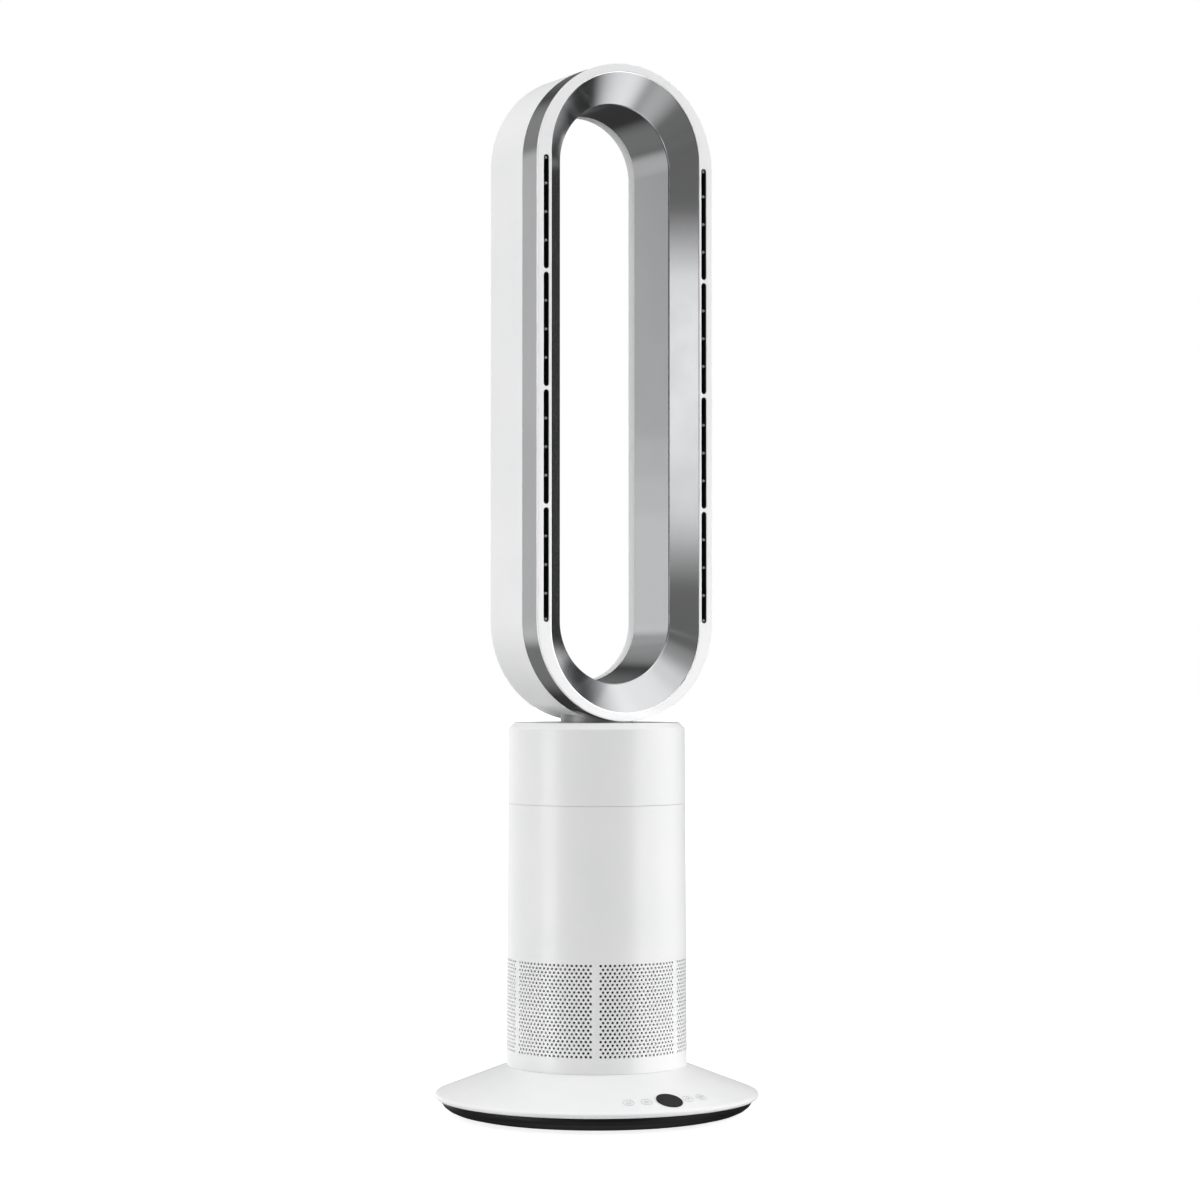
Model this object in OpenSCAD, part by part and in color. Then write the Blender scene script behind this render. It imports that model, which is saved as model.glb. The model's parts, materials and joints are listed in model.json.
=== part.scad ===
// Bladeless tower fan: conical base, perforated intake column, turning head and slotted air ring.
// Millimetres. Origin on the floor under the column axis. +Z up, front faces -Y.

/* [Overall] */
// Floor to the top of the ring
total_h = 960; // [940:5:1000]
// Outside diameter of the base rim
base_d = 298; // [292:1:310]
// Column diameter where it meets the base cone
column_foot_d = 166; // [164:0.5:168]
// Column diameter at its top
column_top_d = 162.8; // [161.6:0.2:163.6]

/* [Levels] */
// Height where the base cone meets the column
cone_top_z = 45.5; // [43:0.5:47]
// Height of the turning seam in the column
seam_z = 285; // [284.8:0.1:285.2]
// Height of the column's flat top
column_top_z = 359.4; // [357:0.2:359.4]

/* [Air ring] */
// Outside width of the ring
ring_w = 183; // [180:1:188]
// Depth of the ring, front to back
ring_d = 93.5; // [93:0.5:100]
// How far the ring's front plane stands before the axis
ring_front = 55; // [52:0.5:55.5]
// Lowest point of the ring
ring_bottom_z = 360.5; // [360.5:0.5:363]
// Half width of the front rim's inner edge
rim_inner_half = 77.7; // [76:0.1:78.5]
// Half width at the ridge where the bevel meets the inner wall
ridge_half = 57.2; // [54:0.1:60]
// Depth of the ridge behind the front plane
ridge_depth = 21; // [18:0.5:24]
// Depth of the silver band behind the front plane
band_depth = 29.5; // [26:0.5:34]
// Depth at which the inner wall gives way to the rear lip
liner_depth = 81; // [76:0.5:84]
// Wall thickness of the ring mouldings
ring_wall = 2.2; // [1.8:0.1:2.4]

/* [Outlet slots] */
// Width of a slot
slot_w = 5.2; // [3.6:0.2:5.4]
// Distance of the slots from the centre plane
slot_x = 82.6; // [82:0.1:83.4]
// Slots on each straight side
slots_per_side = 4; // [3:1:5]
// Solid bridge between two slots
slot_bridge = 3; // [2.4:0.2:4]

/* [Drive] */
// Blades on the impeller
impeller_blades = 9; // [7:2:11]
// Fixed vanes behind the impeller
diffuser_vanes = 11; // [9:2:13]
// Gear module of the oscillation drive
gear_module = 1.5; // [1.5:0.1:1.5]
// Teeth on the fixed internal ring gear
ring_teeth = 90; // [90:1:90]
// Teeth on the oscillation pinion
pinion_teeth = 14; // [14:1:14]

/* [Hidden] */
$fn = 96;
eps = 0.01;

rim_r = base_d / 2;
plinth_z = 2;
plinth_r = 144;
plinth_flat_r = 120;
plinth_wall = 2.5;
rim_low_z = 15.8;
rim_top_z = 20.5;
foot_r = column_foot_d / 2;
wall = 2.4;
rest = 0.3;

ring_half = ring_w / 2;
ring_low_c = ring_bottom_z + ring_half;
ring_high_c = total_h - ring_half;
y_front = -ring_front;
y_back = y_front + ring_d;
y_band = y_front + band_depth;
y_ridge = y_front + ridge_depth;
y_liner = y_front + liner_depth;
lip_half = ridge_half - 1.9;
rim_shift = 6.5;
rim_t = 2.4;
slot_over = 1.75;
slot_zone = ring_high_c - ring_low_c + 2 * slot_over;
slot_len = (slot_zone - (slots_per_side - 1) * slot_bridge) / slots_per_side;
slot_z0 = ring_low_c - slot_over;
nozzle_depth = 9;
nozzle_wall = 0.8;
rib_t = 1;
ribs_per_slot = 3;

cone_angle = atan((rim_top_z - cone_top_z) / (foot_r - rim_r));
panel_r = 131;
panel_z = cone_z(panel_r);
display_r = 12.5;
icon_r = 5.1;
icon_angles = [-15.8, -8.7, 8.7, 15.8];

throat_r = 52;
housing_r = 72;
bell_z = 150;
housing_flange_z = 164;
impeller_z0 = 170;
impeller_z1 = 204;
vane_z0 = 209;
vane_z1 = 240;
bucket_r = 46;
shaft_r = 4;
bearing_r = 11;
bearing_h = 7;
running_fit = 0.05;

plate_z = seam_z - 11;
plate_t = 3.5;
disc_z = seam_z + 0.5;
disc_t = 3;
duct_r = 38;
hub_in_r = 40.5;
hub_out_r = 42.9;
collar_r = column_top_d / 2;
chamfer_h = 5.5;
chamfer_w = 5.3;
cap_r = collar_r - chamfer_w - 0.5;
cap_t = 2.5;
neck_r = 33.5;
neck_top_z = 376;
pinion_shaft_r = 2.5;
motor_r = 14;
motor_ear_x = 17.5;
motor_ear_half = 21;
motor_ear_w = 7;
collar_screw_c = 73.5;
neck_screw_c = 52;
pinion_c = gear_module * (ring_teeth - pinion_teeth) / 2;

white = [0.95, 0.95, 0.95];
silver = [0.72, 0.73, 0.75];
dark = [0.08, 0.08, 0.09];
rubber = [0.15, 0.15, 0.15];
steel = [0.6, 0.6, 0.62];
board_green = [0.1, 0.35, 0.2];
grey = [0.45, 0.46, 0.48];
copper = [0.72, 0.45, 0.2];

// ---------- helpers ----------

function cone_z(r) = rim_top_z + (rim_r - r) * tan(cone_angle);
function col_r(z) = foot_r + (collar_r - foot_r) * (z - cone_top_z) / (column_top_z - cone_top_z);

module tube(r_out, r_in, z0, z1) {
    translate([0, 0, z0])
        difference() {
            cylinder(h = z1 - z0, r = r_out);
            translate([0, 0, -1]) cylinder(h = z1 - z0 + 2, r = r_in);
        }
}

module post(r, z0, z1) {
    translate([0, 0, z0]) cylinder(h = z1 - z0, r = r);
}

module around(n, r, start = 0) {
    for (i = [0 : n - 1])
        rotate([0, 0, start + i * 360 / n]) translate([r, 0, 0]) children();
}

// Rounded loop outline drawn in X and Z
module loop2d(r, shift = 0) {
    translate([0, ring_low_c - shift]) circle(r);
    translate([0, ring_high_c + shift]) circle(r);
    translate([-r, ring_low_c - shift]) square([2 * r, ring_high_c - ring_low_c + 2 * shift]);
}

module y_plate(y0, y1) {
    translate([0, y1, 0]) rotate([90, 0, 0]) linear_extrude(y1 - y0) children();
}

// Straight-sided funnel between two loops of different size
module loop_funnel(y0, r0, shift0, y1, r1, shift1) {
    hull() {
        y_plate(y0, y0 + eps) loop2d(r0, shift0, $fn = 72);
        y_plate(y1 - eps, y1) loop2d(r1, shift1, $fn = 72);
    }
}

module screw(head_r, head_h, shank_r, length) {
    cylinder(h = head_h, r = head_r, $fn = 32);
    translate([0, 0, head_h]) cylinder(h = length, r = shank_r, $fn = 32);
}

// Places a child on the cone's outer face, with Z square to it
module on_cone(angle) {
    rotate([0, 0, angle])
        translate([0, -panel_r, panel_z])
            rotate([cone_angle, 0, 0]) children();
}

// ---------- base ----------

rim_count = 6;
foot_c = 104;
foot_pad_r = 8;
base_screw_c = 117;
ballast_screw_c = 95;
board_post_c = 52;
shell_foot_c = 70;
hidden = 20;

// Quarter ellipse of the bowl's underside, moved inwards by t
function bowl(t) = [
    for (a = [90 : -15 : 0])
        [
            plinth_flat_r + (plinth_r - plinth_flat_r - t) * cos(a),
            rim_low_z - (rim_low_z - plinth_z - t) * sin(a)
        ]
];

module rubber_feet() {
    color(rubber) around(rim_count, foot_c, 30) cylinder(h = 3, r = foot_pad_r);
}

module base_plinth() {
    color(dark)
        difference() {
            union() {
                rotate_extrude() {
                    difference() {
                        polygon(concat([[0, plinth_z]], bowl(0), [[0, rim_low_z]]));
                        polygon(concat(
                            [[-1, plinth_z + plinth_wall]], bowl(plinth_wall),
                            [[plinth_r - plinth_wall, rim_low_z + 1], [-1, rim_low_z + 1]]
                        ));
                    }
                }
                around(rim_count, base_screw_c)
                    translate([0, 0, plinth_z + 1]) cylinder(h = 5, r = 6.4);
                inlet_pocket(inlet_wall, plinth_z + plinth_wall);
            }
            around(rim_count, foot_c, 30) translate([0, 0, -1]) cylinder(h = 4, r = foot_pad_r);
            around(rim_count, base_screw_c) {
                translate([0, 0, plinth_z - 1]) cylinder(h = 4, r = 4.2);
                cylinder(h = hidden, r = 2.1);
            }
            around(4, ballast_screw_c, 45) cylinder(h = hidden, r = 1.7);
            inlet_pocket(0, -1);
        }
}

inlet_face = 128;
inlet_w = 14;
inlet_h = 8;
inlet_z = 9.6;
inlet_depth = 10.5;
inlet_wall = 1.8;
jack_r = 2.8;
jack_depth = 8.5;

// Recess at the back of the plinth that the power inlet faces out through
module inlet_pocket(t, z_low) {
    reach = t > 0 ? 2 * inlet_depth : 4 * inlet_depth;
    translate([-inlet_w / 2 - t, inlet_face - inlet_depth, z_low])
        cube([inlet_w + 2 * t, reach, inlet_z + inlet_h / 2 - z_low + t / 2]);
}

module power_inlet() {
    color(dark)
        difference() {
            translate([-inlet_w / 2, inlet_face - inlet_depth, inlet_z - inlet_h / 2])
                cube([inlet_w, inlet_depth, inlet_h]);
            translate([0, inlet_face + 1, inlet_z])
                rotate([90, 0, 0]) cylinder(h = jack_depth + 1, r = jack_r);
        }
}

module inlet_pin() {
    color(copper)
        translate([0, inlet_face - 0.6, inlet_z])
            rotate([90, 0, 0]) cylinder(h = jack_depth - 0.6, r = 1, $fn = 32);
}

module base_screws() {
    color(steel)
        around(rim_count, base_screw_c)
            translate([0, 0, plinth_z + 1]) screw(3.7, 2, boss_hole_r, 18);
}

ballast_z = plinth_z + plinth_wall;
ballast_t = 6;

module ballast_plate() {
    color(steel)
        difference() {
            tube(108, 12, ballast_z, ballast_z + ballast_t);
            around(4, ballast_screw_c, 45) cylinder(h = hidden, r = 2);
        }
}

module ballast_screws() {
    color(steel)
        around(4, ballast_screw_c, 45)
            translate([0, 0, ballast_z + ballast_t + 2]) rotate([180, 0, 0]) screw(3.6, 2, 1.7, 8);
}

deck_z = cone_top_z - wall;
boss_hole_r = 1.75;
spigot_r = foot_r - 3.2;
cover_in_r = 141.8;
grommet_r = 9;

module base_cover() {
    color(white)
        difference() {
            union() {
                rotate_extrude()
                    polygon([
                        [cover_in_r, rim_low_z], [rim_r - 1.6, rim_low_z],
                        [rim_r, rim_low_z + 1.6], [rim_r, rim_top_z - 1.3],
                        [rim_r - 0.9, rim_top_z], [foot_r, cone_top_z], [0, cone_top_z],
                        [0, deck_z], [foot_r - 0.8, deck_z], [rim_r - 5, rim_top_z - 1.4],
                        [cover_in_r, rim_top_z - 1.4]
                    ]);
                around(rim_count, base_screw_c) post(4.6, plinth_z + 6, cone_z(base_screw_c) - 3);
                around(4, board_post_c, 45) post(4, board_z + board_t, deck_z + 1);
                tube(spigot_r, spigot_r - 2.2, deck_z, cone_top_z + 9);
            }
            around(rim_count, base_screw_c) post(boss_hole_r, plinth_z + 5, plinth_z + 23);
            around(4, board_post_c, 45) post(board_hole_r, board_z, board_z + 12);
            around(4, shell_foot_c, 45) post(1.9, deck_z - 1, cone_top_z + 2);
            post(grommet_r, 0, cone_top_z + 2);
            on_cone(0) translate([0, 0, -8]) cylinder(h = 10, r = display_r);
            for (a = icon_angles) on_cone(a) translate([0, 0, -0.4]) touch_icon_ring();
        }
}

module display_window() {
    color(dark) on_cone(0) translate([0, 0, -1.4]) cylinder(h = 1.8, r = display_r);
}

module touch_icon_ring() {
    difference() {
        cylinder(h = 0.4, r = icon_r);
        translate([0, 0, -1]) cylinder(h = 2.4, r = icon_r - 0.5);
    }
}

module touch_icons() {
    color(grey) for (a = icon_angles) on_cone(a) translate([0, 0, -0.4]) touch_icon_ring();
}

module control_board() {
    color(board_green)
        on_cone(0) translate([-40, -7, -8.6]) cube([80, 22, 1.6]);
}

module display_module() {
    color(grey) on_cone(0) translate([-8, -6, -7]) cube([16, 12, 5.6]);
}

board_z = 17;
board_t = 1.6;
board_hole_r = 1.3;
board_w = 100;
board_d = 84;

module main_board() {
    color(board_green)
        difference() {
            translate([-board_w / 2, -board_d / 2, board_z]) cube([board_w, board_d, board_t]);
            around(4, board_post_c, 45) cylinder(h = 2 * hidden, r = board_hole_r + 0.6);
        }
}

module board_capacitors() {
    color(dark)
        for (x = [-30, -14, 2])
            translate([x, 20, board_z + board_t]) cylinder(h = 16, r = 6.3);
}

module board_screws() {
    color(steel)
        around(4, board_post_c, 45)
            translate([0, 0, board_z - 1.8]) screw(2.8, 1.8, board_hole_r, 10);
}

grommet_lip = 1.5;

module cable_grommet() {
    color(rubber) {
        tube(grommet_r, grommet_r - 4, deck_z - grommet_lip, cone_top_z + grommet_lip);
        tube(grommet_r + 2, grommet_r - 4, cone_top_z, cone_top_z + grommet_lip);
        tube(grommet_r + 2, grommet_r - 4, deck_z - grommet_lip, deck_z);
    }
}

// ---------- column ----------

ledge_z = bell_z - 3;
ledge_r = 75.6;
shell_plate_c = 75;

module intake_shell() {
    color(white)
        difference() {
            union() {
                rotate_extrude()
                    polygon([
                        [foot_r - 3, cone_top_z], [foot_r, cone_top_z], [col_r(seam_z), seam_z],
                        [col_r(seam_z) - wall, seam_z],
                        [col_r(bell_z) - wall, bell_z], [ledge_r, bell_z], [ledge_r, ledge_z],
                        [col_r(ledge_z) - wall, ledge_z],
                        [foot_r - 2.6, cone_top_z + 10]
                    ]);
                around(4, shell_foot_c, 45) shell_foot_boss();
                around(4, shell_plate_c, 45) shell_plate_boss();
            }
            around(4, shell_foot_c, 45) post(1.6, cone_top_z - 1, cone_top_z + 9);
            around(4, shell_plate_c, 45) post(1.3, plate_z - 9, plate_z + 1);
        }
}

module shell_foot_boss() {
    translate([0, 0, cone_top_z]) cylinder(h = 12, r = 4);
    translate([0, -1.5, cone_top_z + 9]) cube([11, 3, 3]);
}

module shell_plate_boss() {
    translate([0, 0, plate_z - 10]) cylinder(h = 10, r = 3.2);
    translate([0, -3.2, plate_z - 10]) cube([5.6, 6.4, 10]);
}

module column_screws() {
    color(steel)
        around(4, shell_foot_c, 45) translate([0, 0, deck_z - 2]) screw(3.4, 2, 1.6, 10);
}

// ---------- air path ----------

bell_lip_r = 10;
mount_c = 68.5;
mount_hole_r = 1.8;

module inlet_bellmouth() {
    color(grey)
        rotate_extrude() {
            difference() {
                translate([throat_r + bell_lip_r, bell_z + bell_lip_r]) circle(bell_lip_r);
                translate([throat_r + bell_lip_r, bell_z + bell_lip_r]) circle(bell_lip_r - wall);
                translate([throat_r, bell_z + bell_lip_r]) square([20, 20]);
                translate([throat_r + bell_lip_r, bell_z]) square([20, 20]);
            }
            translate([throat_r + bell_lip_r, bell_z])
                square([ledge_r + 3.4 - throat_r - bell_lip_r, wall]);
            translate([throat_r, bell_z + bell_lip_r]) square([wall, 8]);
        }
}

module vibration_mounts() {
    color(rubber)
        around(4, mount_c)
            tube(5, mount_hole_r, bell_z + wall, housing_flange_z);
}

module impeller_housing() {
    color(grey)
        difference() {
            rotate_extrude()
                polygon([
                    [54.8, 163], [54.8, 172], [housing_r, impeller_z1], [housing_r, 244],
                    [housing_r + 2.2, 244], [housing_r + 2.2, 203], [58.6, 172], [58.6, 166.4],
                    [75, 166.4], [75, housing_flange_z], [57, housing_flange_z], [57, 163]
                ]);
            around(4, mount_c) post(mount_hole_r, housing_flange_z - 4, housing_flange_z + 8);
        }
}

module impeller() {
    color(dark) {
        rotate_extrude()
            polygon([
                [shaft_r, impeller_z0], [16, impeller_z0], [46, impeller_z1], [43.6, impeller_z1],
                [15.2, 173], [9, 173], [9, 190], [shaft_r, 190]
            ]);
        intersection() {
            rotate_extrude()
                polygon([
                    [15.9, impeller_z0], [53.6, impeller_z0], [53.6, 172.4],
                    [housing_r - 1.2, impeller_z1], [45.9, impeller_z1]
                ]);
            around(impeller_blades, 0)
                translate([10, 0, (impeller_z0 + impeller_z1) / 2])
                    rotate([40, 0, 0]) translate([0, -0.8, -40]) cube([70, 1.6, 80]);
        }
    }
}

module impeller_nut() {
    color(steel)
        translate([0, 0, impeller_z0 - 4])
            difference() {
                cylinder(h = 4, r = 6.5, $fn = 6);
                translate([0, 0, -1]) cylinder(h = 6, r = shaft_r);
            }
}

module motor_bucket() {
    color(grey) {
        difference() {
            translate([0, 0, vane_z0 - 2]) cylinder(h = vane_z1 - vane_z0 + 2, r = bucket_r);
            translate([0, 0, vane_z0 + 0.4]) cylinder(h = 60, r = bucket_r - 2.2);
            cylinder(h = 300, r = 12);
        }
        intersection() {
            tube(housing_r, bucket_r - 0.5, vane_z0, vane_z1);
            around(diffuser_vanes, 0)
                translate([40, 0, (vane_z0 + vane_z1) / 2])
                    rotate([-24, 0, 0]) translate([0, -0.8, -30]) cube([40, 1.6, 60]);
        }
    }
}

module bucket_cap() {
    color(grey)
        rotate_extrude()
            polygon([
                [0, 254], [22, 254], [bucket_r, vane_z1], [bucket_r - 2.4, vane_z1],
                [21, 251.8], [0, 251.8]
            ]);
}

can_r = 31;
can_z0 = vane_z0 + 0.4;
can_z1 = 239;

module motor_can() {
    color(steel)
        difference() {
            translate([0, 0, can_z0]) cylinder(h = can_z1 - can_z0, r = can_r);
            translate([0, 0, can_z0 + bearing_h + 1])
                cylinder(h = can_z1 - can_z0 - 2 * bearing_h - 2, r = can_r - 1.6);
            translate([0, 0, can_z0 - 1]) cylinder(h = can_z1 - can_z0 + 2, r = bearing_r);
        }
}

module motor_stator() {
    color(copper)
        difference() {
            tube(can_r - 1.6, 16.4, can_z0 + bearing_h + 1, can_z1 - bearing_h - 1);
            around(9, 21.5)
                translate([0, 0, can_z0]) cylinder(h = 40, r = 3);
        }
}

module motor_rotor() {
    color(steel) {
        translate([0, 0, impeller_z0 - 6]) cylinder(h = can_z1 - 1 - impeller_z0 + 6, r = shaft_r);
        translate([0, 0, can_z0 + bearing_h + 2])
            cylinder(h = can_z1 - can_z0 - 2 * bearing_h - 4, r = 15.6);
    }
}

module motor_bearings() {
    color(steel) {
        tube(bearing_r, shaft_r + running_fit, can_z0, can_z0 + bearing_h);
        tube(bearing_r, shaft_r + running_fit, can_z1 - bearing_h, can_z1);
    }
}

cone_end_z = 266;

module outlet_cone() {
    color(grey)
        rotate_extrude()
            polygon([
                [housing_r + 2.2, 240], [housing_r + 2.2, 244], [housing_r, 244],
                [duct_r, cone_end_z], [duct_r, seam_z - 1], [duct_r + 1.8, seam_z - 1],
                [duct_r + 1.8, cone_end_z + 0.8], [housing_r + 4.2, 244.6], [housing_r + 4.2, 240]
            ]);
}

// ---------- turntable ----------

module turntable_plate() {
    color(grey)
        difference() {
            tube(col_r(seam_z) - wall - 0.4, hub_out_r + rest, plate_z, plate_z + plate_t);
            around(4, shell_plate_c, 45) translate([0, 0, plate_z - 1]) cylinder(h = 6, r = 1.4);
            around(4, shell_plate_c, 45) translate([0, 0, plate_z + 1.7]) cylinder(h = 3, r = 2.4);
        }
}

module turntable_screws() {
    color(steel)
        around(4, shell_plate_c, 45)
            translate([0, 0, plate_z + plate_t]) rotate([180, 0, 0]) screw(2.3, 1.8, 1.3, 8);
}

turntable_r = 78;
gear_out_r = 73.6;

module glide_ring() {
    color(white) tube(turntable_r, gear_out_r + 0.6, plate_z + plate_t, disc_z - rest);
}

module gear_tooth(pitch_r, inner, outer, half, slope) {
    polygon([
        [inner, -half - (pitch_r - inner) * slope], [outer, -half - (pitch_r - outer) * slope],
        [outer, half + (pitch_r - outer) * slope], [inner, half + (pitch_r - inner) * slope]
    ]);
}

tooth_half = gear_module * PI / 4 - 0.2;
gear_h = 6;

module ring_gear() {
    pitch_r = gear_module * ring_teeth / 2;
    color(white)
        translate([0, 0, plate_z + plate_t])
            linear_extrude(gear_h + 1) {
                difference() {
                    circle(gear_out_r);
                    circle(pitch_r + 2);
                }
                for (i = [0 : ring_teeth - 1])
                    rotate(90 + (i + 0.5) * 360 / ring_teeth)
                        gear_tooth(pitch_r, pitch_r - 1.2, pitch_r + 2.2, tooth_half, -0.36);
            }
}

module oscillation_pinion() {
    pitch_r = gear_module * pinion_teeth / 2;
    color(white)
        translate([0, pinion_c, plate_z + plate_t + 1])
            linear_extrude(gear_h)
                difference() {
                    union() {
                        circle(pitch_r - 1.9);
                        for (i = [0 : pinion_teeth - 1])
                            rotate(90 + i * 360 / pinion_teeth)
                                gear_tooth(pitch_r, pitch_r - 2.4, pitch_r + 1.2, tooth_half, 0.36);
                    }
                    circle(pinion_shaft_r);
                }
}

module turntable_disc() {
    color(grey)
        difference() {
            union() {
                tube(turntable_r, hub_in_r, disc_z, disc_z + disc_t);
                tube(hub_out_r, hub_in_r, plate_z - 4, disc_z + disc_t);
            }
            translate([0, 0, plate_z - 3]) tube(hub_out_r + 1, hub_out_r - 0.8, 0, 2);
            translate([0, pinion_c, disc_z - 1]) cylinder(h = 6, r = 7);
            around(4, collar_screw_c, 45) translate([0, 0, disc_z - 1]) cylinder(h = 6, r = 1.9);
            around(4, collar_screw_c, 45) translate([0, 0, disc_z - 1]) cylinder(h = 3, r = 3.6);
            around(4, neck_screw_c, 45) translate([0, 0, disc_z - 1]) cylinder(h = 6, r = 1.4);
            for (s = [-1, 1])
                translate([s * motor_ear_x, pinion_c, disc_z - 1]) cylinder(h = 6, r = 1.3);
        }
}

module retaining_ring() {
    color(steel) tube(49, hub_out_r - 0.8, plate_z - 3, plate_z - 1);
}

module oscillation_motor() {
    color(steel)
        difference() {
            union() {
                translate([0, pinion_c, disc_z + disc_t]) cylinder(h = 19, r = motor_r);
                translate([-motor_ear_half, pinion_c - motor_ear_w / 2, disc_z + disc_t])
                    cube([2 * motor_ear_half, motor_ear_w, 1]);
            }
            translate([0, pinion_c, disc_z]) cylinder(h = 14, r = pinion_shaft_r + running_fit);
            for (s = [-1, 1])
                translate([s * motor_ear_x, pinion_c, disc_z]) cylinder(h = 6, r = 1.3);
        }
}

module pinion_shaft() {
    color(steel)
        translate([0, pinion_c, plate_z + plate_t + 0.6]) cylinder(h = 20, r = pinion_shaft_r);
}

module oscillation_motor_screws() {
    color(steel)
        for (s = [-1, 1])
            translate([s * motor_ear_x, pinion_c, disc_z + disc_t + 2.6])
                rotate([180, 0, 0]) screw(2.6, 1.6, 1.3, 3.5);
}

// ---------- head ----------

collar_ledge_r = cap_r - 2.2;

module upper_collar() {
    color(white)
        difference() {
            union() {
                rotate_extrude()
                    polygon([
                        [collar_r - wall, disc_z], [col_r(seam_z), disc_z],
                        [collar_r, column_top_z - chamfer_h],
                        [collar_r - chamfer_w, column_top_z], [cap_r, column_top_z],
                        [cap_r, column_top_z - cap_t], [collar_ledge_r, column_top_z - cap_t],
                        [collar_ledge_r, column_top_z - cap_t - wall],
                        [collar_r - 5, column_top_z - cap_t - wall],
                        [collar_r - wall, column_top_z - 8]
                    ]);
                around(4, collar_screw_c, 45) collar_boss();
            }
            around(4, collar_screw_c, 45) translate([0, 0, disc_z]) cylinder(h = 18, r = 1.6);
        }
}

module collar_boss() {
    height = column_top_z - disc_z - disc_t - 4;
    post(4, disc_z + disc_t, disc_z + disc_t + height);
    translate([0, -wall / 2, disc_z + disc_t]) cube([5.8, wall, height]);
}

module collar_screws() {
    color(steel)
        around(4, collar_screw_c, 45) translate([0, 0, disc_z + 0.2]) screw(3.4, 1.8, 1.6, 14);
}

module top_cap() {
    color(white) tube(cap_r, neck_r + 2, column_top_z - cap_t, column_top_z);
}

neck_flange_r = 58;
taper_low_z = 304;
taper_top_z = 344;

module neck_duct() {
    neck_low_z = disc_z + disc_t;
    color(silver)
        difference() {
            rotate_extrude()
                polygon([
                    [hub_in_r, neck_low_z], [neck_flange_r, neck_low_z],
                    [neck_flange_r, neck_low_z + 2.5], [hub_in_r + 2, neck_low_z + 2.5],
                    [hub_in_r + 2, taper_low_z], [neck_r, taper_top_z], [neck_r, neck_top_z],
                    [neck_r - 2, neck_top_z], [neck_r - 2, taper_top_z], [hub_in_r, taper_low_z]
                ]);
            translate([0, pinion_c, neck_low_z - 1]) cylinder(h = 5, r = motor_r + rest);
            translate([-motor_ear_half - rest, pinion_c - 8, neck_low_z - 1])
                cube([2 * (motor_ear_half + rest), 20, 5]);
            around(4, neck_screw_c, 45) translate([0, 0, neck_low_z - 1]) cylinder(h = 5, r = 1.4);
        }
}

module neck_screws() {
    color(steel)
        around(4, neck_screw_c, 45)
            translate([0, 0, disc_z + disc_t + 4.3]) rotate([180, 0, 0]) screw(2.8, 1.8, 1.4, 5);
}

module neck_seal() {
    color(rubber) tube(neck_r + 2, neck_r, column_top_z - cap_t, column_top_z - rest);
}

module neck_clamp() {
    color(steel) tube(neck_r + 2.2, neck_r, neck_top_z - 3, neck_top_z);
}

// ---------- air ring ----------

module neck_hole() {
    translate([0, 0, ring_bottom_z - 5]) cylinder(h = neck_top_z - ring_bottom_z + 3, r = neck_r);
}

module ring_rear_shell() {
    color(white)
        difference() {
            y_plate(y_band, y_back) loop2d(ring_half);
            y_plate(y_band - 1, y_back - ring_wall)
                difference() {
                    loop2d(ring_half - ring_wall);
                    loop2d(lip_half + ring_wall);
                }
            y_plate(y_band - 1, y_liner) loop2d(ring_half - ring_wall);
            y_plate(y_band - 1, y_back + 1) loop2d(lip_half);
            neck_hole();
        }
}

module ring_band() {
    color(silver)
        difference() {
            y_plate(y_front + 1, y_band)
                difference() {
                    loop2d(ring_half);
                    loop2d(ring_half - ring_wall);
                }
            neck_hole();
        }
}

module ring_liner() {
    color(silver)
        difference() {
            union() {
                loop_funnel(y_front + 0.6, rim_inner_half, rim_shift, y_ridge, ridge_half, 0);
                loop_funnel(y_ridge, ridge_half + ring_wall, 0, y_liner, lip_half + ring_wall, 0);
                loop_funnel(y_front + rim_t, rim_inner_half, rim_shift,
                            y_ridge + ring_wall, ridge_half + ring_wall, 0);
            }
            loop_funnel(y_front + 0.6 - eps, rim_inner_half - 0.4, rim_shift, y_ridge, ridge_half, 0);
            loop_funnel(y_ridge - eps, ridge_half, 0, y_liner + eps, lip_half, 0);
        }
}

module slot2d(grow = 0) {
    half = slot_w / 2 + grow;
    for (s = [-1, 1])
        for (i = [0 : slots_per_side - 1])
            translate([s * slot_x, slot_z0 + i * (slot_len + slot_bridge)]) {
                translate([0, slot_w / 2]) circle(half);
                translate([0, slot_len - slot_w / 2]) circle(half);
                translate([-half, slot_w / 2]) square([2 * half, slot_len - slot_w]);
            }
}

module ring_front_rim() {
    color(white)
        difference() {
            union() {
                y_plate(y_front, y_front + 1) loop2d(ring_half);
                y_plate(y_front + 1, y_front + rim_t) loop2d(ring_half - ring_wall);
            }
            y_plate(y_front - 1, y_front + rim_t + 1) loop2d(rim_inner_half, rim_shift);
            y_plate(y_front - 1, y_front + rim_t + 1) slot2d();
        }
}

module outlet_nozzles() {
    rib_pitch = slot_len / (ribs_per_slot + 1);
    color(dark)
        y_plate(y_front + rim_t, y_front + rim_t + nozzle_depth)
            difference() {
                slot2d(nozzle_wall);
                slot2d();
            }
    color(dark)
        for (s = [-1, 1])
            for (i = [0 : slots_per_side - 1])
                for (k = [1 : ribs_per_slot])
                    translate([
                        s * slot_x - slot_w / 2 - 0.2, y_front + rim_t,
                        slot_z0 + i * (slot_len + slot_bridge) + k * rib_pitch - rib_t / 2
                    ])
                        cube([slot_w + 0.4, nozzle_depth, rib_t]);
}

module flow_splitter() {
    color(grey)
        difference() {
            y_plate(y_ridge + 4, y_liner - 4)
                polygon([[0, 380], [16, 400], [-16, 400]]);
            y_plate(y_ridge, y_liner) loop2d(ridge_half + ring_wall + 0.2);
        }
}

// ---------- assembly ----------

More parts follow.
